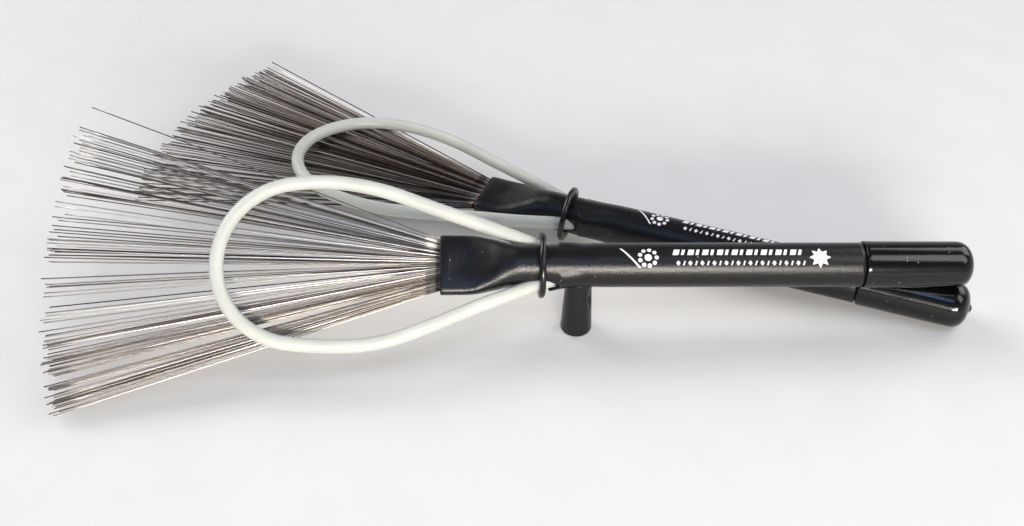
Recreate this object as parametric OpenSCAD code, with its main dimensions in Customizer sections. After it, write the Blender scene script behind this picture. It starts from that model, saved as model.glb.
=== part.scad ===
// A pair of wire drum brushes. The front brush lies across the tail of the rear one.
// Each brush is built in its own frame: the mouth of the handle is at x = 0, the
// handle runs along +X, the wires fan out along -X and the fan lies in the XY plane.

/* [Handle] */
// Outer diameter of the rubber grip (mm)
grip_diameter = 16; // [14:0.5:20]
// Outer diameter of the grip between the mouth and the grip shoulder (mm)
neck_diameter = 15; // [13:0.25:16]
// Outer diameter of the metal tube inside the grip (mm)
tube_diameter = 12.7; // [11:0.1:13]
// Wall of the metal tube (mm)
tube_wall = 0.8; // [0.6:0.1:1.2]
// Distance from the mouth to the rim of the end cap (mm)
rim_x = 152; // [130:1:190]
// Full width of the flattened mouth over the rubber (mm)
mouth_width = 22; // [18:0.5:26]
// Full thickness of the flattened mouth over the rubber (mm)
mouth_thickness = 5.6; // [5:0.1:8]
// Length of the part of the mouth that is pressed flat (mm)
flat_length = 12; // [8:1:16]
// Length over which the flat mouth turns round (mm)
transition_length = 20; // [14:1:26]

/* [Wires] */
// Length of each wire outside the mouth (mm)
wire_length = 138.5; // [110:0.5:160]
// Thickness of one wire (mm)
wire_diameter = 0.45; // [0.35:0.05:0.6]
// Wires in each layer of the fan
wires_per_row = 26; // [12:1:30]
// Layers of wires
wire_rows = 4; // [2:1:4]
// Angle between the axis and the outermost wires (degrees)
fan_angle = 18.5; // [10:0.5:24]

/* [Loop] */
// Diameter of the nylon rod of the loop (mm)
loop_diameter = 5; // [4:0.1:6]
// Distance from the mouth to the far end of the loop centre line (mm)
loop_reach = 80; // [60:1:95]
// Radius of the round far end of the loop (mm)
loop_radius = 31.2; // [24:0.1:34]
// Lift of the loop plane over the fan plane (degrees)
loop_tilt = 4.5; // [4:0.1:6]

/* [Ring and cap] */
// Thickness of the rubber cord of the neck ring (mm)
ring_cord = 2.2; // [2:0.1:3]
// Inner diameter of the neck ring (mm)
ring_bore = 18.2; // [18:0.1:18.6]
// Distance from the mouth to the neck ring (mm)
ring_x = 37; // [36:0.5:39]
// Outer diameter of the end cap (mm)
cap_diameter = 17; // [16.6:0.1:18]
// Length of the end cap (mm)
cap_length = 40; // [30:1:50]
// Radius of the round edge at the closed end of the cap (mm)
cap_round = 5; // [3:0.5:6]

/* [Placing] */
// Turn of the rear brush about the upright axis (degrees)
rear_yaw = -20.2; // [-30:0.1:-10]
// Turn of the front brush about the upright axis (degrees)
front_yaw = 1.6; // [-4:0.1:4]
// Roll of the front brush about its own axis (degrees)
front_roll = 32.4; // [0:0.1:33]
// Clear height between the two caps where they cross (mm)
cap_gap = 0.4; // [0.3:0.1:2]

/* [Hidden] */
$fn = 96;

// Colours of the materials.
black_rubber = [0.05, 0.05, 0.06];
black_vinyl = [0.02, 0.02, 0.02];
bright_steel = [0.62, 0.62, 0.64];
raw_aluminium = [0.75, 0.76, 0.78];
white_nylon = [0.93, 0.94, 0.9];
amber_resin = [0.55, 0.4, 0.2];
grey_plastic = [0.35, 0.35, 0.37];

// Handle.
overlap = 0.5;
joint_step = 0.1;
cut_through = 1;
tube_start = 0.8;
tube_end = rim_x + cap_length - 6;
rim_gap = 0.6;
round_x = flat_length + transition_length;
shoulder_x = 58;
mouth_rubber = 0.9;
mouth_tube_wall = 0.6;
tail_radius = 7.2;
tail_plug_length = 14;
bore_radius = tube_diameter / 2 - tube_wall;
outer_half = [mouth_width / 2, mouth_thickness / 2];
tube_half = [outer_half[0] - mouth_rubber, outer_half[1] - mouth_rubber];
bore_half = [tube_half[0] - mouth_tube_wall, tube_half[1] - mouth_tube_wall];
section_points = 32;
section_steps = 6;

// Wires.
block_clearance = 0.1;
block_start = 1.2;
wire_start = 3;
row_pitch = 0.6;
row_spread = 0.9;
length_jitter = 1.6;
jitter_step = 137.5;
root_clearance = 0.15;
root_inset = 1;
root_plug_length = 13;

// Loop. The centre line is a chain of tangent arcs and straight arms.
shoulder_angle = 10;
arm_angle = 18.5;
entry_angle = 26;
entry_x = 22;
entry_y = 12.9;
bend_radius = 60;
loop_pivot = 38;
loop_end_y = 3.2;
socket_clearance = 0.3;
socket_lead = 6;
loop_sides = 16;
far_centre = -loop_reach + loop_radius;
far_angle = 90 + shoulder_angle;
side_angle = 90 - arm_angle;
bend_angle = 90 - entry_angle;
far_point = [far_centre + loop_radius * cos(far_angle), loop_radius * sin(far_angle)];
arm_slope = tan(arm_angle);
side_radius = (entry_y + arm_slope * (entry_x - far_point[0]) - far_point[1])
    / (sin(side_angle) - sin(far_angle) + arm_slope * (cos(side_angle) - cos(far_angle)));
side_centre = far_point - side_radius * [cos(far_angle), sin(far_angle)];
entry_point = [entry_x, entry_y];
bend_centre = entry_point - bend_radius * [cos(side_angle), sin(side_angle)];
bend_point = bend_centre + bend_radius * [cos(bend_angle), sin(bend_angle)];
end_run = (bend_point[1] - loop_end_y) / sin(entry_angle);
end_point = bend_point + end_run * [cos(entry_angle), -sin(entry_angle)];
far_steps = 12;
side_steps = 6;
bend_steps = 3;
upper_path = concat(
    arc_stops([far_centre, 0], loop_radius, 180, far_angle, far_steps),
    arc_stops(side_centre, side_radius, far_angle - shoulder_angle / 2, side_angle, side_steps),
    arc_stops(bend_centre, bend_radius, side_angle, bend_angle, bend_steps),
    [[end_point[0], end_point[1], -entry_angle]]);
lower_path = [for (k = [len(upper_path) - 1 : -1 : 1])
    [upper_path[k][0], -upper_path[k][1], 180 - upper_path[k][2]]];
loop_path = concat(lower_path, upper_path);
stop_x = 46;
stop_length = 12;

// Cap.
cap_clearance = 0.08;
cap_roof = 3.4;
nub_radius = 1.5;
nub_length = 1.4;

// Placing. The rear brush rests on its cap, pitched so that its neck ring just clears the table
// at the end of its travel. The front brush is at cap_stack when the two caps just touch.
rear_mouth = [14, 67.5];
ring_outer = ring_bore / 2 + ring_cord;
ring_travel = 20;
ring_low_x = ring_x + ring_travel;
cap_low_x = rim_x + cap_length - cap_round;
rear_pitch = asin((ring_outer - cap_diameter / 2) / (cap_low_x - ring_low_x));
rear_height = cap_diameter / 2 / cos(rear_pitch) + cap_low_x * sin(rear_pitch);
front_pitch = 1.2;
cap_stack = 29.5;
front_height = cap_stack + cap_gap;
assembly_centre = [27.97, 56.97];

// Peg under the front handle.
peg_x = 49;
peg_top_diameter = 9.6;
peg_bottom_diameter = 10.7;
peg_reach = 24;
peg_point = [peg_x * cos(front_yaw), peg_x * sin(front_yaw)];

// Smooth change from 0 to 1.
function ease(t) = t * t * (3 - 2 * t);

// Half width and half thickness of a section that turns from flat to round.
function section_half(flat, radius, x) =
    let (t = ease(min(1, max(0, (x - flat_length) / transition_length))))
    [flat[0] + (radius - flat[0]) * t, flat[1] + (radius - flat[1]) * t];

// Stops along an arc, each [x, y, heading], from one angle to a smaller one.
function arc_stops(centre, radius, first, last, steps) = [
    for (k = [0 : steps])
        let (a = first + (last - first) * k / steps)
        [centre[0] + radius * cos(a), centre[1] + radius * sin(a), a - 90]
];

// Ring of points around one stop of the loop's centre line.
function loop_ring(stop) = [
    for (k = [0 : loop_sides - 1])
        let (a = 360 * k / loop_sides, side = loop_diameter / 2 * cos(a), rise = loop_diameter / 2 * sin(a))
        [stop[0] - side * sin(stop[2]), stop[1] + side * cos(stop[2]), rise]
];

// One ring of points: two half circles joined by flats.
function section_ring(half, x) = [
    for (k = [0 : section_points - 1])
        let (a = 360 * k / section_points)
        [x, (half[0] - half[1]) * sign(round(1000 * cos(a))) + half[1] * cos(a), half[1] * sin(a)]
];

// Closed solid through a list of rings that all have the same number of points.
module skin(rings) {
    count = len(rings);
    around = len(rings[0]);
    sides = [for (s = [0 : count - 2], k = [0 : around - 1])
        let (n = (k + 1) % around, low = s * around, high = low + around)
        each [[low + k, high + n, low + n], [low + k, high + k, high + n]]];
    front = [[for (k = [0 : around - 1]) k]];
    back = [[for (k = [around - 1 : -1 : 0]) (count - 1) * around + k]];
    polyhedron([for (ring = rings) each ring], concat(front, sides, back), convexity = 4);
}

// Solid with a flat front that turns round towards the back.
module flared_body(flat, radius, start, finish) {
    middle = [for (k = [0 : section_steps]) flat_length + transition_length * k / section_steps];
    stations = concat([start], [for (x = middle) if (x > start && x < finish) x], [finish]);
    skin([for (x = stations) section_ring(section_half(flat, radius, x), x)]);
}

// Round bar along +X.
module bar(radius, start, finish) {
    translate([start, 0, 0])
        rotate([0, 90, 0])
            cylinder(r = radius, h = finish - start);
}

// Places children in the tilted plane of the loop.
module loop_plane() {
    translate([loop_pivot, 0, 0])
        rotate([0, loop_tilt, 0])
            translate([-loop_pivot, 0, 0])
                children();
}

// Slanted holes in both sides of the neck for the loop ends.
module loop_sockets() {
    loop_plane()
        for (side = [0, 1])
            mirror([0, side, 0])
                translate([bend_point[0], bend_point[1], 0])
                    rotate([0, 0, -entry_angle])
                        translate([-socket_lead, 0, 0])
                            rotate([0, 90, 0])
                                cylinder(r = loop_diameter / 2 + socket_clearance,
                                         h = end_run + socket_lead + cut_through, $fn = 64);
}

// Metal tube, pressed flat at the mouth.
module handle_tube() {
    difference() {
        union() {
            flared_body(tube_half, tube_diameter / 2 - joint_step, tube_start, round_x);
            bar(tube_diameter / 2, round_x - overlap, tube_end);
        }
        flared_body(bore_half, bore_radius + joint_step, tube_start - cut_through, round_x);
        bar(bore_radius, round_x - overlap, tube_end + cut_through);
        loop_sockets();
    }
}

// Rubber sleeve over the whole tube, thinner where the cap covers it.
module grip_sleeve() {
    difference() {
        union() {
            flared_body(outer_half, neck_diameter / 2 - joint_step, 0, round_x);
            bar(neck_diameter / 2, round_x - overlap, shoulder_x);
            bar(grip_diameter / 2, shoulder_x, rim_x - rim_gap);
            bar(tail_radius, rim_x - rim_gap - overlap, tube_end);
        }
        flared_body(tube_half, tube_diameter / 2 + joint_step, -cut_through, round_x);
        bar(tube_diameter / 2, round_x - overlap, tube_end + cut_through);
        loop_sockets();
    }
}

// One wire of the fan.
module wire(row, place) {
    shift = (row % 2) * 0.5;
    span = wires_per_row - 0.5;
    share = 2 * (place + shift) / span - 1;
    level = row - (wire_rows - 1) / 2;
    root_half = bore_half[0] - root_inset;
    reach = wire_length + wire_start + length_jitter * sin(jitter_step * (place + row * 7));
    translate([wire_start, share * root_half, level * row_pitch])
        rotate([0, 0, -share * fan_angle])
            rotate([0, level * row_spread - 90, 0])
                cylinder(d = wire_diameter, h = reach, $fn = 6);
}

// All wires, gripped together in a flat pack inside the mouth.
module wire_fan() {
    half = [bore_half[0] - block_clearance, bore_half[1] - block_clearance];
    flared_body(half, bore_radius, block_start, flat_length);
    for (row = [0 : wire_rows - 1], place = [0 : wires_per_row - 1])
        wire(row, place);
}

// Resin behind the wire pack.
module root_plug() {
    half = [bore_half[0] - root_clearance, bore_half[1] - root_clearance];
    start = flat_length + root_clearance;
    flared_body(half, bore_radius - root_clearance, start, flat_length + root_plug_length);
}

// Bent nylon rod whose ends sit in the neck.
module nylon_loop() {
    loop_plane()
        skin([for (stop = loop_path) loop_ring(stop)]);
}

// Plug that stops the loop ends from going deeper.
module loop_stop() {
    bar(bore_radius - root_clearance, stop_x, stop_x + stop_length);
}

// Plug at the tail of the tube.
module tail_plug() {
    bar(bore_radius - root_clearance, tube_end - tail_plug_length, tube_end);
}

// Rubber ring that pins the loop arms to the neck.
module neck_ring() {
    translate([ring_x, 0, 0])
        rotate([0, 90, 0])
            rotate_extrude()
                translate([(ring_bore + ring_cord) / 2, 0])
                    circle(d = ring_cord, $fn = 64);
}

// Soft cap pushed over the tail of the sleeve.
module end_cap() {
    radius = cap_diameter / 2;
    difference() {
        translate([rim_x, 0, 0])
            rotate([0, 90, 0])
                rotate_extrude() {
                    square([radius, cap_length - cap_round]);
                    square([radius - cap_round, cap_length]);
                    intersection() {
                        translate([radius - cap_round, cap_length - cap_round])
                            circle(r = cap_round);
                        square([radius, cap_length]);
                    }
                    square([nub_radius, cap_length + nub_length]);
                }
        bar(tail_radius + cap_clearance, rim_x - cut_through, rim_x + cap_length - cap_roof);
    }
}

// Places the rear brush.
module rear_place() {
    translate([rear_mouth[0] - assembly_centre[0], rear_mouth[1] - assembly_centre[1], rear_height])
        rotate([0, rear_pitch, rear_yaw])
            children();
}

// Places the front brush.
module front_place() {
    translate([-assembly_centre[0], -assembly_centre[1], front_height])
        rotate([front_roll, front_pitch, front_yaw])
            children();
}

module rear_handle_tube() { color(raw_aluminium) rear_place() handle_tube(); }
module rear_grip_sleeve() { color(black_rubber) rear_place() grip_sleeve(); }
module rear_wire_fan() { color(bright_steel) rear_place() wire_fan(); }
module rear_root_plug() { color(amber_resin) rear_place() root_plug(); }
module rear_nylon_loop() { color(white_nylon) rear_place() nylon_loop(); }
module rear_loop_stop() { color(grey_plastic) rear_place() loop_stop(); }
module rear_tail_plug() { color(grey_plastic) rear_place() tail_plug(); }
module rear_neck_ring() { color(black_rubber) rear_place() neck_ring(); }
module rear_end_cap() { color(black_vinyl) rear_place() end_cap(); }
module front_handle_tube() { color(raw_aluminium) front_place() handle_tube(); }
module front_grip_sleeve() { color(black_rubber) front_place() grip_sleeve(); }
module front_wire_fan() { color(bright_steel) front_place() wire_fan(); }
module front_root_plug() { color(amber_resin) front_place() root_plug(); }
module front_nylon_loop() { color(white_nylon) front_place() nylon_loop(); }
module front_loop_stop() { color(grey_plastic) front_place() loop_stop(); }
module front_tail_plug() { color(grey_plastic) front_place() tail_plug(); }
module front_neck_ring() { color(black_rubber) front_place() neck_ring(); }
module front_end_cap() { color(black_vinyl) front_place() end_cap(); }

// Peg that props the front handle up off the table; its top is a saddle for the neck.
module rest_peg() {
    color(black_rubber)
        difference() {
            translate([peg_point[0] - assembly_centre[0], peg_point[1] - assembly_centre[1], 0])
                cylinder(d1 = peg_bottom_diameter, d2 = peg_top_diameter, h = peg_reach);
            front_place()
                bar(neck_diameter / 2, 0, shoulder_x);
        }
}

rear_handle_tube();
rear_grip_sleeve();
rear_wire_fan();
rear_root_plug();
rear_nylon_loop();
rear_loop_stop();
rear_tail_plug();
rear_neck_ring();
rear_end_cap();
front_handle_tube();
front_grip_sleeve();
front_wire_fan();
front_root_plug();
front_nylon_loop();
front_loop_stop();
front_tail_plug();
front_neck_ring();
front_end_cap();
rest_peg();
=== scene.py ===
import math
import random

import bmesh
import bpy
import numpy as np
from mathutils import Matrix, Vector


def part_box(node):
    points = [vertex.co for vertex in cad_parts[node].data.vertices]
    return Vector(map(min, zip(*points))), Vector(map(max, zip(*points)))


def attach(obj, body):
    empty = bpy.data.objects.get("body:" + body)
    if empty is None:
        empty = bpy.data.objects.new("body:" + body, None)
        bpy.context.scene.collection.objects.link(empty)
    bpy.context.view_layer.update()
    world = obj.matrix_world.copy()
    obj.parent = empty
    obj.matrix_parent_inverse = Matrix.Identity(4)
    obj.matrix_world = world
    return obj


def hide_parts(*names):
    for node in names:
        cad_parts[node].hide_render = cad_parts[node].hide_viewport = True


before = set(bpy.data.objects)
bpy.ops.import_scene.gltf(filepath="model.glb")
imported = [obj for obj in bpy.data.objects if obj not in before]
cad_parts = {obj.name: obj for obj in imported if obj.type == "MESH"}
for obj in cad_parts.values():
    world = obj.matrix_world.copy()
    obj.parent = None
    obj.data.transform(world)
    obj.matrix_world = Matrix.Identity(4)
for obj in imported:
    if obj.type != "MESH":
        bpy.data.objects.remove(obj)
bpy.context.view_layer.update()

# A pair of crossed wire drum brushes. Each brush is shaped in its own frame in
# millimetres: the mouth of the handle is at x = 0, the handle runs along +X, the
# wires fan out along -X and the fan lies in the XY plane.

MM = 0.001
TAU = 2 * math.pi

# Driving sizes of one brush, in millimetres.
GRIP_RADIUS = 8.0
NECK_RADIUS = 7.5
TUBE_RADIUS = 6.35
MOUTH_HALF_WIDTH = 11.0
MOUTH_HALF_THICKNESS = 2.8
FLAT_LENGTH = 12.0
TRANSITION_LENGTH = 20.0
RIM_X = 152.0
CAP_LENGTH = 40.0
CAP_RADIUS = 8.5
RING_X = 36.3
RING_CORD = 2.3
LOOP_DIAMETER = 5.0
LOOP_PIVOT = 38.0
LOOP_TILT = math.radians(3.2)
WIRE_LENGTH = 138.5
WIRE_RADIUS = 0.22
FAN_ANGLE = math.radians(18.5)
PACK_HALF_WIDTH = 8.3
PEG_X = 49.0

# Where each brush lies: mouth, then roll, pitch and yaw in degrees.
PLACES = {
    "rear": ((-13.97, 10.53, 12.53), (0.0, 1.234, -20.2)),
    "front": ((-27.97, -56.97, 29.9), (32.4, 1.2, 1.6)),
}


def place_matrix(brush):
    """Brush frame in millimetres to row frame in metres."""
    mouth, turns = PLACES[brush]
    roll, pitch, yaw = (math.radians(t) for t in turns)
    turn = Matrix.Rotation(yaw, 4, "Z") @ Matrix.Rotation(pitch, 4, "Y") @ Matrix.Rotation(roll, 4, "X")
    return Matrix.Scale(MM, 4) @ Matrix.Translation(Vector(mouth)) @ turn


MATRICES = {brush: place_matrix(brush) for brush in PLACES}
TO_ROW = {brush: np.array(matrix) for brush, matrix in MATRICES.items()}


def to_row(brush, points):
    """Points of a brush frame as an array in the row frame."""
    matrix = TO_ROW[brush]
    return np.asarray(points) @ matrix[:3, :3].T + matrix[:3, 3]


def ease(t):
    """Smooth step from 0 to 1."""
    t = np.clip(t, 0.0, 1.0)
    return t * t * (3 - 2 * t)


def bump(t):
    """1 at t = 0, falling smoothly to 0 at t = -1 and t = 1."""
    return np.clip(1 - np.asarray(t) ** 2, 0, None) ** 2


def hump(x, centre, half_length):
    """Bump of height 1 about a centre, in the units of x."""
    return bump(np.clip((x - centre) / half_length, -1, 1))


# ---------------------------------------------------------------- materials


def new_material(name):
    material = bpy.data.materials.new(name)
    material.use_nodes = True
    shader = material.node_tree.nodes["Principled BSDF"]
    return material, material.node_tree, shader


def add(tree, kind, **inputs):
    node = tree.nodes.new(kind)
    for key, value in inputs.items():
        node.inputs[key.replace("_", " ")].default_value = value
    return node


def row_coordinates(tree):
    """Object coordinates, in metres."""
    return tree.nodes.new("ShaderNodeTexCoord").outputs["Object"]


def noise(tree, scale, detail=3.0, roughness=0.5):
    node = add(tree, "ShaderNodeTexNoise", Scale=scale, Detail=detail, Roughness=roughness)
    tree.links.new(row_coordinates(tree), node.inputs["Vector"])
    return node.outputs["Fac"]


def ramp(tree, source, stops):
    """Colour ramp; stops are (position, colour)."""
    node = tree.nodes.new("ShaderNodeValToRGB")
    elements = node.color_ramp.elements
    elements[0].position, elements[0].color = stops[0][0], (*stops[0][1], 1)
    elements[1].position, elements[1].color = stops[-1][0], (*stops[-1][1], 1)
    for position, colour in stops[1:-1]:
        elements.new(position).color = (*colour, 1)
    tree.links.new(source, node.inputs["Fac"])
    return node.outputs["Color"]


def spread(tree, source, low, high):
    """Maps 0..1 to low..high."""
    node = tree.nodes.new("ShaderNodeMapRange")
    node.inputs["To Min"].default_value = low
    node.inputs["To Max"].default_value = high
    tree.links.new(source, node.inputs["Value"])
    return node.outputs["Result"]


def bump_from(tree, shader, source, distance, strength=1.0):
    node = add(tree, "ShaderNodeBump", Strength=strength, Distance=distance)
    tree.links.new(source, node.inputs["Height"])
    tree.links.new(node.outputs["Normal"], shader.inputs["Normal"])


def specks(tree, scale, size):
    """1 inside small round specks, 0 elsewhere. Only the cells above the threshold hold one."""
    rare_threshold = 0.72
    cells = add(tree, "ShaderNodeTexVoronoi", Scale=scale)
    tree.links.new(row_coordinates(tree), cells.inputs["Vector"])
    small = tree.nodes.new("ShaderNodeMath")
    small.operation = "LESS_THAN"
    small.inputs[1].default_value = size
    tree.links.new(cells.outputs["Distance"], small.inputs[0])
    rare = tree.nodes.new("ShaderNodeMath")
    rare.operation = "GREATER_THAN"
    rare.inputs[1].default_value = rare_threshold
    split = tree.nodes.new("ShaderNodeSeparateColor")
    tree.links.new(cells.outputs["Color"], split.inputs["Color"])
    tree.links.new(split.outputs["Red"], rare.inputs[0])
    both = tree.nodes.new("ShaderNodeMath")
    both.operation = "MULTIPLY"
    tree.links.new(small.outputs[0], both.inputs[0])
    tree.links.new(rare.outputs[0], both.inputs[1])
    return both.outputs[0]


def mix_colour(tree, factor, first, second):
    node = tree.nodes.new("ShaderNodeMix")
    node.data_type = "RGBA"
    tree.links.new(factor, node.inputs["Factor"])
    tree.links.new(first, node.inputs["A"])
    node.inputs["B"].default_value = (*second, 1)
    return node.outputs["Result"]


def dusty_black(name, dark, light, rough, grain, dust_scale, dust_size, specular):
    """Black rubber or vinyl with fine grain and a few pale dust specks.

    grain is the noise scale and the height in metres of the grain."""
    dust_colour = (0.42, 0.42, 0.42)
    material, tree, shader = new_material(name)
    tone = ramp(tree, noise(tree, 900, 4.0, 0.65), [(0.3, dark), (0.75, light)])
    dust = specks(tree, dust_scale, dust_size)
    tree.links.new(mix_colour(tree, dust, tone, dust_colour), shader.inputs["Base Color"])
    tree.links.new(spread(tree, noise(tree, 260, 3.0), rough[0], rough[1]), shader.inputs["Roughness"])
    shader.inputs["Specular IOR Level"].default_value = specular
    bump_from(tree, shader, noise(tree, grain[0], 3.0, 0.6), grain[1])
    return material


def make_grip_rubber():
    return dusty_black("grip_rubber", (0.0015, 0.0015, 0.0017), (0.005, 0.005, 0.0056), (0.24, 0.33),
                       (1700, 0.00011), 330, 0.06, 0.42)


def make_ring_rubber():
    return dusty_black("ring_rubber", (0.0015, 0.0015, 0.0015), (0.005, 0.005, 0.005), (0.2, 0.28),
                       (1800, 0.00002), 500, 0.05, 0.5)


def make_peg_rubber():
    return dusty_black("peg_rubber", (0.002, 0.002, 0.002), (0.007, 0.007, 0.0072), (0.26, 0.36),
                       (1400, 0.00004), 420, 0.06, 0.4)


def make_cap_vinyl():
    return dusty_black("cap_vinyl", (0.001, 0.001, 0.001), (0.003, 0.003, 0.0032), (0.1, 0.17),
                       (500, 0.00002), 520, 0.085, 0.45)


def make_wire_steel():
    """Each wire has its own tone, from dark (0) to bright (1), stored on the mesh as a point attribute; the
    level of each fan in it is painted light, brighter for a painted sheen and darker for a painted shade.
    """
    material, tree, shader = new_material("wire_steel")
    finish = tree.nodes.new("ShaderNodeAttribute")
    finish.attribute_name = "finish"
    mottle = spread(tree, noise(tree, 700, 4.0, 0.7), -0.12, 0.12)
    total = add(tree, "ShaderNodeMath")
    tree.links.new(finish.outputs["Fac"], total.inputs[0])
    tree.links.new(mottle, total.inputs[1])
    tone = ramp(tree, total.outputs[0], [(0.0, (0.032, 0.023, 0.018)), (0.5, (0.25, 0.215, 0.19)),
                                         (1.0, (0.88, 0.86, 0.82))])
    tree.links.new(tone, shader.inputs["Base Color"])
    shader.inputs["Metallic"].default_value = 1.0
    tree.links.new(spread(tree, noise(tree, 900, 3.0), 0.24, 0.36), shader.inputs["Roughness"])
    return material


def make_white_nylon():
    material, tree, shader = new_material("white_nylon")
    tone = ramp(tree, noise(tree, 60, 3.0), [(0.3, (0.48, 0.5, 0.465)), (0.7, (0.55, 0.565, 0.535))])
    tree.links.new(tone, shader.inputs["Base Color"])
    shader.inputs["Subsurface Weight"].default_value = 0.75
    shader.inputs["Subsurface Radius"].default_value = (0.0045, 0.004, 0.003)
    shader.inputs["Subsurface Scale"].default_value = 1.0
    shader.inputs["Transmission Weight"].default_value = 0.06
    shader.inputs["IOR"].default_value = 1.53
    tree.links.new(spread(tree, noise(tree, 300, 3.0), 0.3, 0.42), shader.inputs["Roughness"])
    bump_from(tree, shader, noise(tree, 500, 2.0), 0.00002)
    return material


def make_print():
    material, tree, shader = new_material("white_print")
    tone = ramp(tree, noise(tree, 2200, 4.0, 0.7), [(0.25, (0.5, 0.51, 0.53)), (0.5, (0.86, 0.87, 0.88))])
    tree.links.new(tone, shader.inputs["Base Color"])
    tree.links.new(spread(tree, noise(tree, 900, 2.0), 0.4, 0.6), shader.inputs["Roughness"])
    return material


def make_plain(name, dark, light, metallic, rough):
    material, tree, shader = new_material(name)
    tone = ramp(tree, noise(tree, 500, 4.0), [(0.3, dark), (0.7, light)])
    tree.links.new(tone, shader.inputs["Base Color"])
    shader.inputs["Metallic"].default_value = metallic
    tree.links.new(spread(tree, noise(tree, 700, 3.0), rough[0], rough[1]), shader.inputs["Roughness"])
    return material


def make_paper():
    """Plain pale paper, with no tone of its own across the floor."""
    material, tree, shader = new_material("pale_paper")
    tone = ramp(tree, noise(tree, 40, 2.0), [(0.3, (0.655, 0.65, 0.645)), (0.7, (0.675, 0.67, 0.665))])
    tree.links.new(tone, shader.inputs["Base Color"])
    tree.links.new(spread(tree, noise(tree, 40, 2.0), 0.75, 0.9), shader.inputs["Roughness"])
    shader.inputs["Specular IOR Level"].default_value = 0.2
    return material


# ---------------------------------------------------------------- mesh building


def mesh_object(name, points, faces, material, smooth=True):
    mesh = bpy.data.meshes.new(name)
    mesh.from_pydata([tuple(p) for p in points], [], [tuple(f) for f in faces])
    mesh.validate()
    mesh.materials.append(material)
    mesh.polygons.foreach_set("use_smooth", [smooth] * len(mesh.polygons))
    mesh.update()
    piece = bpy.data.objects.new(name, mesh)
    bpy.context.scene.collection.objects.link(piece)
    return piece


def skin(rings, closed=True):
    """Points and faces of a tube through rings of equal size, closed at both ends with a middle point."""
    rings = np.asarray(rings)
    count, around = rings.shape[:2]
    points = rings.reshape(-1, 3).tolist()
    faces = []
    for s in range(count - 1):
        low = s * around
        high = low + around
        for k in range(around):
            n = (k + 1) % around
            faces.append((low + k, low + n, high + n, high + k))
    if closed:
        for start, flip in ((0, True), ((count - 1) * around, False)):
            middle = len(points)
            ring = rings[0] if flip else rings[-1]
            points.append(ring.mean(axis=0).tolist())
            for k in range(around):
                n = (k + 1) % around
                edge = (start + n, start + k) if flip else (start + k, start + n)
                faces.append((*edge, middle))
    return points, faces


def brush_piece(name, brush, rings, material, closed=True):
    points, faces = skin(rings, closed)
    return mesh_object(name, to_row(brush, points), faces, material)


def joined(parts):
    """Several (points, faces) as one."""
    points = []
    faces = []
    for part_points, part_faces in parts:
        shift = len(points)
        points.extend(part_points)
        faces.extend(tuple(i + shift for i in face) for face in part_faces)
    return points, faces


def revolve_x(profile, around=96):
    """Rings about the X axis from (x, radius) pairs."""
    angles = np.arange(around) * TAU / around
    return [
        np.stack([np.full(around, x), r * np.cos(angles), r * np.sin(angles)], axis=1)
        for x, r in profile
    ]


def cut(piece, cutter):
    """Takes the cutter out of the piece and deletes the cutter."""
    modifier = piece.modifiers.new("cut", "BOOLEAN")
    modifier.operation = "DIFFERENCE"
    modifier.object = cutter
    modifier.solver = "EXACT"
    bpy.context.view_layer.update()
    graph = bpy.context.evaluated_depsgraph_get()
    mesh = bpy.data.meshes.new_from_object(piece.evaluated_get(graph))
    piece.modifiers.clear()
    old = piece.data
    piece.data = mesh
    bpy.data.meshes.remove(old)
    bpy.data.objects.remove(cutter)


# ---------------------------------------------------------------- loop path

# The even loop: a round far end, a wide shoulder arc, a straight arm, a soft bend and a straight
# end that runs into the neck.
FAR_RADIUS = 29.5
SHOULDER_ANGLE = math.radians(9)
ARM_ANGLE = math.radians(20.5)
ENTRY_ANGLE = math.radians(22)
ENTRY_POINT = np.array([26.0, 10.7])
BEND_RADIUS = 60.0
END_Y = 3.2
FAR_STEPS, SHOULDER_STEPS, ARM_STEPS, BEND_STEPS, END_STEPS = 40, 20, 12, 8, 8

# How each hand-bent loop strays from its even shape: its reach, a sideways swing, a twist and
# a rise of its far end, and how far its far and near arms are squeezed together (mm).
LOOP_SHAPES = {
    "front": {"reach": 78.0, "swing": -1.5, "twist": 2.0, "rise": 1.5, "squeeze": (0.5, -1.5)},
    "rear": {"reach": 79.5, "swing": -2.0, "twist": -2.5, "rise": -0.5, "squeeze": (1.5, 1.5)},
}


def direction(angle):
    return np.array([math.cos(angle), math.sin(angle)])


def arc(centre, radius, first, last, steps):
    """Points (x, y) on an arc, from one angle to another."""
    return [centre + radius * direction(first + (last - first) * k / steps) for k in range(steps + 1)]


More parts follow.
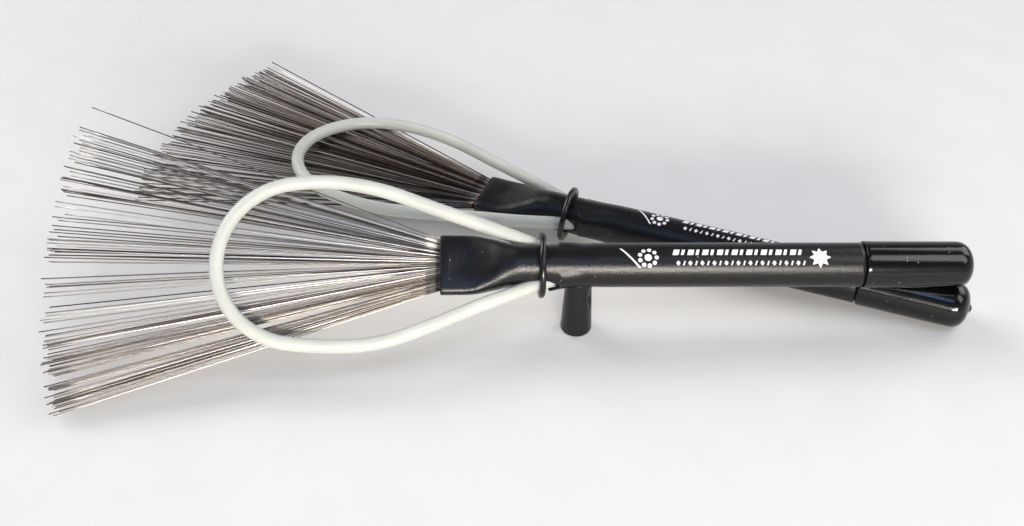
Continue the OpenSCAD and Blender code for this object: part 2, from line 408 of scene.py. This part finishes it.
def loop_side(reach):
    """Centre line of the far side of an even loop, from its far end to its end in the neck."""
    centre = np.array([FAR_RADIUS - reach, 0.0])
    far_angle = math.pi / 2 + SHOULDER_ANGLE
    side_angle = math.pi / 2 - ARM_ANGLE
    bend_angle = math.pi / 2 - ENTRY_ANGLE
    far_point = centre + FAR_RADIUS * direction(far_angle)
    slope = math.tan(ARM_ANGLE)
    change = direction(side_angle) - direction(far_angle)
    side_radius = (ENTRY_POINT[1] + slope * (ENTRY_POINT[0] - far_point[0]) - far_point[1]) / (
        change[1] + slope * change[0])
    side_centre = far_point - side_radius * direction(far_angle)
    bend_centre = ENTRY_POINT - BEND_RADIUS * direction(side_angle)
    points = arc(centre, FAR_RADIUS, math.pi, far_angle, FAR_STEPS)
    points += arc(side_centre, side_radius, far_angle, side_angle, SHOULDER_STEPS)[1:]
    start = points[-1]
    points += [start + (ENTRY_POINT - start) * k / ARM_STEPS for k in range(1, ARM_STEPS)]
    points += arc(bend_centre, BEND_RADIUS, side_angle, bend_angle, BEND_STEPS)
    last = points[-1]
    run = (last[1] - END_Y) / math.sin(ENTRY_ANGLE)
    heading = np.array([math.cos(ENTRY_ANGLE), -math.sin(ENTRY_ANGLE)])
    points += [last + heading * run * k / END_STEPS for k in range(1, END_STEPS + 1)]
    return np.array(points)


def loop_path(brush):
    """Centre line of a whole loop, from its near end in the neck round to its far end there."""
    shape = LOOP_SHAPES[brush]
    sway_start, sway_length = 20, 100
    squeeze_x, squeeze_length = -12, 34
    twist_width = 30
    far = loop_side(shape["reach"])
    flat = np.vstack([far[:0:-1] * [1, -1], far])
    x, y = flat[:, 0], flat[:, 1].copy()
    ahead = np.clip((sway_start - x) / sway_length, 0, 1.2) ** 2
    squeeze = np.where(y > 0, shape["squeeze"][0], -shape["squeeze"][1])
    y = y + shape["swing"] * ahead - squeeze * bump(np.clip((x - squeeze_x) / squeeze_length, -1, 1))
    z = shape["rise"] * ahead + shape["twist"] * ahead * y / twist_width
    return tilt_loop(np.column_stack([x, y, z]))


def tilt_loop(points):
    """Lifts the loop plane over the fan plane, about a line at the neck."""
    x = points[:, 0] - LOOP_PIVOT
    z = points[:, 2]
    cos_tilt, sin_tilt = math.cos(LOOP_TILT), math.sin(LOOP_TILT)
    along = LOOP_PIVOT + x * cos_tilt + z * sin_tilt
    return np.column_stack([along, points[:, 1], z * cos_tilt - x * sin_tilt])


def tube_rings(path, radius, around=28):
    """Rings of a round tube along a path that never runs along Z."""
    path = np.asarray(path, dtype=float)
    ahead = np.gradient(path, axis=0)
    ahead /= np.linalg.norm(ahead, axis=1)[:, None]
    up = np.array([0.0, 0.0, 1.0])
    side = np.cross(up, ahead)
    side /= np.linalg.norm(side, axis=1)[:, None]
    over = np.cross(ahead, side)
    radius = np.broadcast_to(radius, len(path))
    angles = np.arange(around) * TAU / around
    return [
        path[i] + radius[i] * (np.outer(np.cos(angles), side[i]) + np.outer(np.sin(angles), over[i]))
        for i in range(len(path))
    ]


def make_loop(brush, material):
    """White nylon loop."""
    rings = tube_rings(loop_path(brush), LOOP_DIAMETER / 2, 36)
    piece = brush_piece(f"{brush}_loop_tube", brush, rings, material)
    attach(piece, f"{brush}_brush")
    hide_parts(f"{brush}_nylon_loop")
    return piece


# ---------------------------------------------------------------- sleeve

SOCKET_RADIUS = 2.75
SOCKET_RINGS = BEND_STEPS + END_STEPS
SLEEVE_AROUND = 128
NECK_END_X = 44
GRIP_START_X = 60
TAIL_RADIUS = 7.2
TAIL_END_X = 186.0


def mouth_section(x, half_width, half_thickness, radius, around=SLEEVE_AROUND):
    """Section that is flat near the mouth and round from the neck on: (y, z) pairs."""
    t = float(ease((x - FLAT_LENGTH * 0.7) / (TRANSITION_LENGTH * 1.05)))
    width = half_width + (radius - half_width) * t
    thickness = half_thickness + (radius - half_thickness) * t
    angles = np.arange(around) * TAU / around
    power = 2 + 1.6 * (1 - t)
    c, s = np.cos(angles), np.sin(angles)
    y = width * np.sign(c) * np.abs(c) ** (2 / power)
    z = thickness * np.sign(s) * np.abs(s) ** (2 / power)
    return y, z


def outer_radius(x):
    """Radius of the sleeve behind the neck."""
    share = float(ease((x - NECK_END_X) / (GRIP_START_X - NECK_END_X)))
    return NECK_RADIUS + (GRIP_RADIUS - NECK_RADIUS) * share


def sleeve_ring(x, shrink, wobble):
    """One ring of the sleeve; shrink draws it inwards."""
    radius = outer_radius(x)
    y, z = mouth_section(x, MOUTH_HALF_WIDTH, MOUTH_HALF_THICKNESS, radius)
    reach = np.hypot(y, z)
    angles = np.arctan2(z, y)
    # The rubber swells behind the loop holes, on both sides, with a steep edge towards the ring.
    swell_height, peak, rise_length, fall_length = 0.8, 43.2, 1.7, 10.0
    steep = bump(max(-1.0, (x - peak) / rise_length) if x < peak else min(1.0, (x - peak) / fall_length))
    sideways = bump(np.clip((np.abs(np.cos(angles)) - 1) / 0.42, -1, 0))
    swell = swell_height * steep * sideways
    # Soft dents where the ring presses and where the tube was crimped, and a slight lip at the mouth.
    face = np.sin(np.arctan2(z * MOUTH_HALF_WIDTH, y * MOUTH_HALF_THICKNESS)) ** 2
    ring_dent = 0.18 * hump(x, RING_X, 3.5)
    crimp_dent = 0.34 * hump(x, 8, 4.5) * face
    lip = 0.22 * hump(x, 2.2, 2.2) * face
    ripple = 0.05 * math.sin(x * 0.9 + wobble) * hump(x, 24, 16)
    grow = 1 + (swell - (ring_dent + crimp_dent - lip) + ripple - shrink) / np.maximum(reach, 1)
    return np.stack([np.full(len(y), x), y * grow, z * grow], axis=1)


def make_sleeve(brush, material, wobble):
    """Rubber grip: rounded mouth lip, flat mouth, neck with loop holes, long plain grip, hidden tail."""
    half_wall = 0.55
    wall = 2 * half_wall
    lip_steps = 8
    fine_step, coarse_step = 0.5, 2.0
    rings = []
    # Inside of the mouth, then the round lip, then the outside.
    for x in (14.0, 9.0, 4.0):
        y, z = mouth_section(x, MOUTH_HALF_WIDTH - wall, MOUTH_HALF_THICKNESS - wall, TUBE_RADIUS)
        rings.append(np.stack([np.full(len(y), x), y, z], axis=1))
    for k in range(lip_steps + 1):
        a = math.pi * k / lip_steps
        rings.append(sleeve_ring(half_wall - half_wall * math.sin(a), half_wall * (1 + math.cos(a)), wobble))
    neck_places = np.arange(1.0, GRIP_START_X, fine_step)
    grip_places = np.arange(GRIP_START_X, RIM_X - 0.5, coarse_step)
    for x in np.concatenate([neck_places, grip_places]):
        rings.append(sleeve_ring(float(x), 0.0, wobble))
    step_back = ((RIM_X - 0.6, GRIP_RADIUS), (RIM_X - 0.5, 7.3))
    tail = ((RIM_X + 1, TAIL_RADIUS), (TAIL_END_X, TAIL_RADIUS))
    for x, r in step_back + tail:
        rings.append(revolve_x([(x, r)], SLEEVE_AROUND)[0])
    piece = brush_piece(f"{brush}_grip", brush, rings, material, closed=False)
    mesh = bmesh.new()
    mesh.from_mesh(piece.data)
    loops = [e for e in mesh.edges if e.is_boundary]
    bmesh.ops.holes_fill(mesh, edges=loops, sides=0)
    bmesh.ops.recalc_face_normals(mesh, faces=mesh.faces)
    mesh.to_mesh(piece.data)
    mesh.free()
    for side in (1, -1):
        cut(piece, socket_cutter(brush, side, material))
    for polygon in piece.data.polygons:
        polygon.use_smooth = True
    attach(piece, f"{brush}_brush")
    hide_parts(f"{brush}_grip_sleeve")
    return piece


def socket_cutter(brush, side, material):
    """Bar along the end of a loop arm, a little wider than the arm."""
    path = loop_path(brush)
    path = path[-SOCKET_RINGS:] if side > 0 else path[SOCKET_RINGS - 1::-1]
    path = np.vstack([path, 2 * path[-1] - path[-2]])
    return brush_piece("cutter", brush, tube_rings(path, SOCKET_RADIUS, 48), material)


def make_flap(material):
    """Torn tab of rubber that curls off the front neck behind its near loop hole."""
    root_x, tip_x = 48.5, 39.2
    middle, half = math.radians(195), math.radians(21)
    thickness, gap, tip_lift = 0.7, 0.35, 1.55
    rows, columns = 14, 9
    top, under = [], []
    for r in range(rows):
        t = r / (rows - 1)
        x = root_x + (tip_x - root_x) * t
        lift = tip_lift * t ** 1.3
        for c in range(columns):
            u = 2 * c / (columns - 1) - 1
            narrow = 1 - 0.62 * t ** 1.5
            turn = middle + half * narrow * u + 0.12 * t
            for points, thick in ((top, 0.0), (under, thickness)):
                radius = outer_radius(x) + gap + lift - thick - 0.25 * u * u
                points.append((x - 0.5 * t * u, radius * math.cos(turn), radius * math.sin(turn)))
    shift = rows * columns
    faces = []
    for r in range(rows - 1):
        for c in range(columns - 1):
            a = r * columns + c
            faces.append((a, a + 1, a + columns + 1, a + columns))
            faces.append((a + shift, a + shift + columns, a + shift + columns + 1, a + shift + 1))
    rim = list(range(columns))
    rim += [r * columns + columns - 1 for r in range(1, rows)]
    rim += [(rows - 1) * columns + c for c in range(columns - 2, -1, -1)]
    rim += [r * columns for r in range(rows - 2, 0, -1)]
    for k, a in enumerate(rim):
        b = rim[(k + 1) % len(rim)]
        faces.append((b, a, a + shift, b + shift))
    piece = mesh_object("front_torn_tab", to_row("front", top + under), faces, material)
    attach(piece, "front_brush")
    return piece


# ---------------------------------------------------------------- ring, cap, peg


# How much further back each ring stands on its far side and on its top (mm).
RING_LEANS = {"front": (0.2, 0.1), "rear": (-0.5, 0.6)}


def make_ring(brush, material):
    """Rubber ring, stretched wide by the loop arms and tight on the neck, a little skewed."""
    around = 128
    cord_points = 24
    stretched_bore, grip_gap = 9.75, 0.12
    wide = stretched_bore + RING_CORD / 2
    tight = GRIP_RADIUS + grip_gap + RING_CORD / 2
    lean_y, lean_z = RING_LEANS[brush]
    rings = []
    for k in range(around):
        a = TAU * k / around
        out = np.array([0.0, math.cos(a) * tight, math.sin(a) * wide])
        out /= np.linalg.norm(out)
        skew = lean_y * math.cos(a) + lean_z * math.sin(a) + 0.12 * math.sin(3 * a)
        centre = np.array([RING_X + skew, wide * math.cos(a), tight * math.sin(a)])
        turns = np.arange(cord_points) * TAU / cord_points
        section = np.outer(np.cos(turns), out) + np.outer(np.sin(turns), [1, 0, 0])
        rings.append(centre + RING_CORD / 2 * section)
    points, faces = skin(rings, closed=False)
    last = (around - 1) * cord_points
    for k in range(cord_points):
        n = (k + 1) % cord_points
        faces.append((last + k, last + n, n, k))
    piece = mesh_object(f"{brush}_ring_cord", to_row(brush, points), faces, material)
    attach(piece, f"{brush}_ring")
    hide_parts(f"{brush}_neck_ring")
    return piece


def cap_profile():
    """(x, radius) of the cap from inside the rim, over the outside, to the middle of its end."""
    inner = 7.32
    lip, lip_steps = 0.42, 8
    round_length, round_steps = 6.4, 26
    nub_height, nub_radius, nub_foot = 0.9, 1.5, 1.55
    profile = [(RIM_X + 30, inner), (RIM_X + 2, inner), (RIM_X + 0.4, inner)]
    for k in range(lip_steps + 1):
        a = math.pi * k / lip_steps
        middle = (inner + CAP_RADIUS) / 2 + 0.02
        profile.append((RIM_X + lip - lip * math.sin(a), middle - (CAP_RADIUS - inner) / 2 * math.cos(a)))
    end = RIM_X + CAP_LENGTH
    for x in np.linspace(RIM_X + 1.5, end - round_length, 24):
        profile.append((float(x), CAP_RADIUS))
    for k in range(1, round_steps):
        a = math.pi / 2 * k / round_steps
        s = math.sin(a)
        r = CAP_RADIUS * (1 - s ** 2.5) ** (1 / 2.3)
        x = end - round_length + round_length * s
        if r > nub_foot:
            profile.append((x, r))
    for s in (1.35, 1.15, 0.9, 0.6, 0.3, 0.06):
        profile.append((end + nub_height * math.sqrt(max(0, 1 - (s / nub_radius) ** 2)), s))
    return profile


def make_cap(brush, material, lower_pull, seed):
    """Soft dipped cap with a thick rim, rounded end and drip nub."""
    rim_zone, outside_radius = 1.2, 7.4
    source = random.Random(seed)
    phases = [source.uniform(0, TAU) for _ in range(4)]
    rings = []
    for x, r in cap_profile():
        ring = revolve_x([(x, r)], 96)[0]
        angles = np.arctan2(ring[:, 2], ring[:, 1])
        along = (x - RIM_X) / CAP_LENGTH
        uneven = 0.05 * np.sin(2 * angles + phases[0] + 3 * along) + 0.03 * np.sin(3 * angles + phases[1])
        if abs(x - RIM_X) < rim_zone:
            ring[:, 0] += 0.22 * np.sin(2 * angles + phases[2]) + 0.12 * np.sin(5 * angles + phases[3])
        # The underside of the cap is pressed up a little towards its end.
        down = np.clip(np.sin(angles - LOWER_SIDE[brush]), 0, 1) ** 2
        press = lower_pull * float(ease((along - 0.35) / 0.55)) * down
        if r > outside_radius:
            scale = 1 + (uneven - press - 0.04) / r
            ring[:, 1:] *= scale[:, None]
        rings.append(ring)
    piece = brush_piece(f"{brush}_cap_shell", brush, rings, material)
    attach(piece, f"{brush}_cap")
    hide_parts(f"{brush}_end_cap")
    return piece


# Angle in each brush's section such that the table is straight below at angle + 90 degrees.
LOWER_SIDE = {brush: math.pi - math.radians(turns[0]) for brush, (_, turns) in PLACES.items()}


def make_peg(material):
    """Short tapered peg with a saddle top, a moulding seam and a nick near its top."""
    low, high = (Vector(c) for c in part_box("rest_peg"))
    centre = (low + high) / 2
    foot_radius = (high.x - low.x) / 2 * 1.08
    top_radius = foot_radius * 0.82
    foot_shift = Vector((-0.0004, -0.0011))
    centre.x += 0.0008
    around = 96
    rings = []
    foot_round_height, foot_round = 0.7, 0.6 * MM
    seam_angle, seam_width, seam_height = 1.5 * math.pi, 0.05, 0.22 * MM
    nick_angle, nick_width, nick_depth = 1.82 * math.pi, 0.16, 1.1 * MM
    nick_level, nick_height = 15, 2.2
    levels = [0.0, 0.1, 0.3, 0.7] + list(np.linspace(1.5, high.z / MM - 0.4, 40))
    axis_height = height_of_front_axis()
    for level in levels:
        share = level * MM / high.z
        radius = foot_radius + (top_radius - foot_radius) * share
        radius -= foot_round * (1 - min(1, level / foot_round_height)) ** 2
        ring = []
        for k in range(around):
            a = TAU * k / around
            seam = seam_height * math.exp(-((a - seam_angle) / seam_width) ** 2)
            nick = nick_depth * math.exp(-((a - nick_angle) / nick_width) ** 2)
            nick *= math.exp(-((level - nick_level) / nick_height) ** 2)
            local = radius + seam - nick
            x = centre.x + foot_shift.x * (1 - share) + local * math.cos(a)
            y = centre.y + foot_shift.y * (1 - share) + local * math.sin(a)
            reach = (y - centre.y) / MM
            saddle = axis_height - math.sqrt(max(0.0, (NECK_RADIUS + 0.1) ** 2 - reach ** 2))
            ring.append((x, y, min(level, saddle) * MM))
        rings.append(ring)
    points, faces = skin(np.array(rings))
    piece = mesh_object("peg_body", points, faces, material)
    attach(piece, "front_brush")
    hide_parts("rest_peg")
    return piece


def height_of_front_axis():
    """Height of the front handle's axis over the table where the peg stands, in millimetres."""
    return to_row("front", [[PEG_X, 0, 0]])[0, 2] / MM


# ---------------------------------------------------------------- wires

# Bunches of wires across each fan: (middle, half width, wires), from -1 near to 1 far.
FRONT_BUNCHES = (
    (1.0, 0.01, 2), (0.96, 0.02, 3), (0.91, 0.02, 4), (0.85, 0.02, 4), (0.8, 0.025, 8), (0.76, 0.015, 4),
    (0.7, 0.01, 3), (0.63, 0.025, 6), (0.53, 0.03, 7), (0.45, 0.005, 1), (0.4, 0.012, 2), (0.32, 0.012, 2),
    (0.26, 0.025, 5), (0.17, 0.015, 4), (0.11, 0.03, 8), (0.05, 0.02, 3), (-0.08, 0.03, 2), (-0.15, 0.02, 3),
    (-0.24, 0.03, 2), (-0.31, 0.025, 2), (-0.38, 0.02, 3), (-0.49, 0.025, 5), (-0.56, 0.03, 7),
    (-0.64, 0.035, 9), (-0.73, 0.04, 11), (-0.85, 0.035, 11), (-0.93, 0.03, 10), (-0.99, 0.015, 4),
)
REAR_BUNCHES = (
    (1.07, 0.012, 3), (0.99, 0.035, 11), (0.89, 0.045, 13), (0.77, 0.05, 14), (0.64, 0.06, 14),
    (0.5, 0.06, 14), (0.36, 0.05, 13), (0.26, 0.05, 12), (0.15, 0.05, 11), (0.02, 0.05, 11),
    (-0.12, 0.05, 10), (-0.25, 0.05, 9), (-0.38, 0.05, 9), (-0.52, 0.05, 8), (-0.66, 0.05, 8),
    (-0.8, 0.05, 8), (-0.92, 0.04, 6), (-1.0, 0.01, 2),
)
# One wire of the front fan has strayed beyond its far edge.
STRAY_SHARE = 1.14
WIRE_SIDES = 8
PACK_DEPTH = 2.5
PACK_HALF_HEIGHT = 0.8
PACK_LAYERS = (-1.0, 0.34, -0.34, 1.0)
TIP_SPREAD = 1.7
FINISH_SCATTER = 0.28
WIRE_STEPS = 16


def wire_path(place, layer, share, reach, bow, sag):
    """Points of one wire from its place in the pack inside the mouth to its tip.

    place and share run from -1 to 1 across the pack and across the open fan."""
    root = np.array([PACK_DEPTH, place * PACK_HALF_WIDTH, layer * PACK_HALF_HEIGHT])
    angle = share * FAN_ANGLE
    points = []
    for k in range(WIRE_STEPS + 1):
        t = k / WIRE_STEPS
        run = t * reach
        side = math.sin(angle) * run + (share - place) * PACK_HALF_WIDTH * t
        side += bow * math.sin(math.pi * t)
        side += bow * t * t
        ahead = -math.cos(angle) * run
        rise = layer * TIP_SPREAD * t + sag * t * t
        points.append(root + np.array([ahead, side, rise]))
    return np.array(points)


def wire_skin(path, radius):
    ring_sets = tube_rings(path, radius, WIRE_SIDES)
    return skin(np.array(ring_sets))


def pack_rings():
    """Flat pack of wire ends held inside the mouth."""
    inset = 1.2
    rings = []
    for x in (1.6, 6.0, 12.0):
        y, z = mouth_section(x, MOUTH_HALF_WIDTH - inset, MOUTH_HALF_THICKNESS - inset, TUBE_RADIUS, 64)
        rings.append(np.stack([np.full(len(y), x), y, z], axis=1))
    return rings


def make_wires(brush, bunches, far_trim, finish, material, seed):
    """Every wire is its own thin tube; they lie in bunches, cross a little and end unevenly.

    far_trim says how much shorter the wires of the far edge are; the fan's brightness argument is how bright
    the wires are on the whole, whatever their place in the fan. This level is painted light: the front fan
    is set brighter, a painted sheen, and the rear fan darker, a painted shade."""
    source = random.Random(seed)
    wires = []
    for middle, half, count in bunches:
        lean = source.uniform(-0.6, 0.6)
        for _ in range(count):
            share = middle + source.uniform(-half, half) * 1.1
            share = max(-1.0, min(1.08, share))
            reach = WIRE_LENGTH + PACK_DEPTH + source.uniform(-2.2, 1.2) - far_trim * max(0.0, share) ** 2
            bow = lean * 0.5 + source.gauss(0, 0.45)
            if abs(share) > 0.95:
                bow *= 0.3
            wires.append((share, reach, bow, source.gauss(0, 0.35)))
    if brush == "front":
        wires.append((STRAY_SHARE, WIRE_LENGTH + 1.0, 0.4, 0.8))
    wires.sort()
    parts = []
    finishes = []
    for k, (share, reach, bow, sag) in enumerate(wires):
        place = 2 * k / (len(wires) - 1) - 1
        layer = PACK_LAYERS[k % len(PACK_LAYERS)]
        parts.append(wire_skin(wire_path(place, layer, share, reach, bow, sag), WIRE_RADIUS))
        # Each wire's tone is its fan's painted light level plus a random scatter of its own.
        finishes.append(finish + source.gauss(0, FINISH_SCATTER))
    # The pack of wire ends inside the mouth gets the darkest tone: painted shade inside the mouth.
    parts.append(skin(pack_rings()))
    finishes.append(0.0)
    points, faces = joined(parts)
    piece = mesh_object(f"{brush}_wires", to_row(brush, points), faces, material)
    attribute = piece.data.attributes.new("finish", "FLOAT", "POINT")
    attribute.data.foreach_set("value", np.repeat(finishes, [len(part[0]) for part in parts]))
    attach(piece, f"{brush}_brush")
    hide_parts(f"{brush}_wire_fan")
    return piece


# ---------------------------------------------------------------- print

PRINT_LIFT = 0.03
UPPER_ROW = math.radians(74.6)
LOWER_ROW = math.radians(104)
PRINT_START = 82.0
PRINT_END = 129.0


def grip_patch(outline, angle, longest=0.8):
    """Thin flat patch on the round grip. outline is (x, y) pairs in millimetres, y across the grip."""
    mesh = bmesh.new()
    corners = [mesh.verts.new((x, y, 0)) for x, y in outline]
    mesh.faces.new(corners)
    mesh.normal_update()
    bmesh.ops.triangulate(mesh, faces=mesh.faces)
    long_edges = [e for e in mesh.edges if e.calc_length() > longest]
    while long_edges:
        bmesh.ops.subdivide_edges(mesh, edges=long_edges, cuts=1)
        mesh.normal_update()
        bmesh.ops.triangulate(mesh, faces=mesh.faces)
        long_edges = [e for e in mesh.edges if e.calc_length() > longest]
    mesh.verts.index_update()
    radius = GRIP_RADIUS + PRINT_LIFT
    points = []
    for v in mesh.verts:
        turn = angle + v.co.y / radius
        points.append((v.co.x, radius * math.cos(turn), radius * math.sin(turn)))
    faces = [tuple(v.index for v in face.verts) for face in mesh.faces]
    mesh.free()
    return points, faces


def dash(x, length, height, slant):
    """Slanted dash centred at x."""
    shift = slant * height / 2
    low, high = -height / 2, height / 2
    return [(x - length / 2 - shift, low), (x + length / 2 - shift, low),
            (x + length / 2 + shift, high), (x - length / 2 + shift, high)]


def burst(x, outer, inner, tips):
    """Outline about x with pointed tips."""
    outline = []
    for k in range(2 * tips):
        radius = inner if k % 2 else outer
        outline.append((x + radius * math.cos(math.pi * k / tips), radius * math.sin(math.pi * k / tips)))
    return outline


def dot(x, y, radius, corners=12):
    """Round dot about x, y."""
    turns = [TAU * k / corners for k in range(corners)]
    return [(x + radius * math.cos(turn), y + radius * math.sin(turn)) for turn in turns]


def make_print_marks(brush, material):
    """Plain white decoration: slanted dashes, a row of small diamonds, a burst and a ring of dots."""
    dash_height, dash_slant = 2.3, -0.3
    dot_ring_radius, dot_radius, middle_dot_radius = 3.0, 0.75, 1.3
    middle_row = (UPPER_ROW + LOWER_ROW) / 2
    parts = []
    pairs = 9
    pitch = (PRINT_END - PRINT_START) / pairs
    for k in range(pairs):
        x = PRINT_START + pitch * (k + 0.5)
        parts.append(grip_patch(dash(x - pitch * 0.2, pitch * 0.4, dash_height, dash_slant), UPPER_ROW))
        parts.append(grip_patch(dash(x + pitch * 0.26, pitch * 0.2, dash_height, dash_slant), UPPER_ROW))
    diamonds = 11
    pitch = (PRINT_END - PRINT_START) / diamonds
    for k in range(diamonds):
        x = PRINT_START + pitch * (k + 0.5)
        parts.append(grip_patch([(x - 0.75, 0), (x, -0.95), (x + 0.75, 0), (x, 0.95)], LOWER_ROW))
        parts.append(grip_patch(dash(x + pitch / 2, 0.5, 1.5, dash_slant), LOWER_ROW))
    parts.append(grip_patch(burst(PRINT_END + 5.8, 3.9, 2.3, 8), middle_row))
    ring_x = PRINT_START - 8.5
    dots = 9
    for k in range(dots):
        turn = TAU * k / dots
        x, y = ring_x + dot_ring_radius * math.cos(turn), dot_ring_radius * math.sin(turn)
        parts.append(grip_patch(dot(x, y, dot_radius), middle_row))
    parts.append(grip_patch(dot(ring_x, 0.0, middle_dot_radius), middle_row))
    parts.append(grip_patch(dash(ring_x - 6.2, 0.8, 7.5, 0.9), middle_row))
    points, faces = joined(parts)
    piece = mesh_object(f"{brush}_print", to_row(brush, points), faces, material, smooth=False)
    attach(piece, f"{brush}_brush")
    return piece


# ---------------------------------------------------------------- stage


LIGHT_TARGET = Vector((0.0, -0.02, 0.0))


def make_floor(material):
    size = 6.0
    points = [(-size, -size, 0), (size, -size, 0), (size, size, 0), (-size, size, 0)]
    floor = mesh_object("floor", points, [(0, 1, 2, 3)], material, smooth=False)


def area_light(name, place, size, power, colour):
    light = bpy.data.lights.new(name, "AREA")
    light.shape = "RECTANGLE"
    light.size, light.size_y = size
    light.energy = power
    light.color = colour
    piece = bpy.data.objects.new(name, light)
    piece.location = place
    piece.rotation_euler = (LIGHT_TARGET - place).to_track_quat("-Z", "Y").to_euler()
    bpy.context.scene.collection.objects.link(piece)
    return piece


def place_around(azimuth, elevation, distance):
    """A place seen from the lights' target at an azimuth (0 = camera side, 90 = right) and elevation."""
    a, e = math.radians(azimuth), math.radians(elevation)
    offset = Vector((math.sin(a) * math.cos(e), -math.cos(a) * math.cos(e), math.sin(e)))
    return LIGHT_TARGET + distance * offset


def make_world():
    """Pale sky that is dim overhead and behind, so the black rubber stays dark."""
    world = bpy.data.worlds.new("studio")
    world.use_nodes = True
    tree = world.node_tree
    background = tree.nodes["Background"]
    background.inputs["Strength"].default_value = 0.66
    coordinates = tree.nodes.new("ShaderNodeTexCoord")
    split = tree.nodes.new("ShaderNodeSeparateXYZ")
    tree.links.new(coordinates.outputs["Generated"], split.inputs["Vector"])
    tone = ramp(tree, split.outputs["Z"], [(0.0, (1.0, 0.98, 0.95)), (0.3, (0.75, 0.75, 0.77)),
                                           (0.6, (0.22, 0.23, 0.26))])
    tree.links.new(tone, background.inputs["Color"])
    bpy.context.scene.world = world


# Softboxes: azimuth and elevation (degrees), distance (m), size (m), power (W), colour. The boxes
# stand to the sides, where the handles mirror little of them; the windows and the slit stand in
# front and make the long highlights on the handles.
SOFTBOXES = {
    "left_box": (-122, 42, 1.5, (1.0, 1.0), 13.5, (1.0, 0.975, 0.95)),
    "right_box": (118, 40, 1.5, (0.9, 0.9), 7.5, (1.0, 0.985, 0.965)),
    "silver_box": (60, 50, 1.4, (0.55, 0.8), 5.0, (0.97, 0.985, 1.0)),
    "warm_window": (7, 16, 1.4, (0.62, 0.22), 25.0, (1.0, 0.94, 0.84)),
    "warm_slit": (-16, 15, 1.4, (0.14, 0.06), 0.8, (1.0, 0.97, 0.92)),
    "cool_window": (-10, 57, 1.4, (0.3, 0.4), 2.0, (0.35, 0.55, 1.0)),
}


def make_lights():
    for name, (azimuth, elevation, distance, size, power, colour) in SOFTBOXES.items():
        area_light(name, place_around(azimuth, elevation, distance), size, power, colour)


def make_camera():
    """Looks down at the pair along +Y. The aim is the row point at the middle of the picture."""
    elevation = math.radians(39.0)
    distance = 0.492
    aim = Vector((-0.00233, -0.01881, 0.0))
    camera_data = bpy.data.cameras.new("camera")
    camera_data.sensor_width = 36.0
    camera_data.lens = 43.6816
    camera_data.clip_start = 0.01
    camera = bpy.data.objects.new("camera", camera_data)
    camera.location = aim + distance * Vector((0, -math.cos(elevation), math.sin(elevation)))
    camera.rotation_euler = (math.pi / 2 - elevation, 0, 0)
    bpy.context.scene.collection.objects.link(camera)
    bpy.context.scene.camera = camera


def repaint(node_names, material):
    """Gives CAD nodes another material."""
    for name in node_names:
        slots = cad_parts[name].material_slots
        for material_slot in slots:
            material_slot.material = material


# ---------------------------------------------------------------- scene

bpy.context.scene.view_settings.view_transform = "Standard"
make_camera()
make_world()
make_lights()
make_floor(make_paper())

grip_rubber = make_grip_rubber()
ring_rubber = make_ring_rubber()
cap_vinyl = make_cap_vinyl()
wire_steel = make_wire_steel()
white_nylon = make_white_nylon()
white_print = make_print()
raw_aluminium = make_plain("raw_aluminium", (0.5, 0.5, 0.52), (0.72, 0.72, 0.74), 1.0, (0.3, 0.45))
amber_resin = make_plain("amber_resin", (0.3, 0.2, 0.08), (0.5, 0.34, 0.16), 0.0, (0.2, 0.3))
grey_plastic = make_plain("grey_plastic", (0.12, 0.12, 0.13), (0.2, 0.2, 0.21), 0.0, (0.4, 0.5))

for order, brush_name in enumerate(PLACES):
    make_sleeve(brush_name, grip_rubber, order * 2.0)
    make_loop(brush_name, white_nylon)
    make_ring(brush_name, ring_rubber)
    make_print_marks(brush_name, white_print)
    repaint([f"{brush_name}_handle_tube"], raw_aluminium)
    repaint([f"{brush_name}_root_plug"], amber_resin)
    repaint([f"{brush_name}_loop_stop", f"{brush_name}_tail_plug"], grey_plastic)
make_cap("rear", cap_vinyl, 0.2, 5)
make_cap("front", cap_vinyl, 1.0, 8)
# The front fan's wires get a brighter tone than the rear fan's: painted sheen on the front fan and painted
# shade on the rear one.
make_wires("front", FRONT_BUNCHES, 0.0, 0.55, wire_steel, 11)
make_wires("rear", REAR_BUNCHES, 3.0, 0.27, wire_steel, 23)
make_peg(make_peg_rubber())
make_flap(grip_rubber)
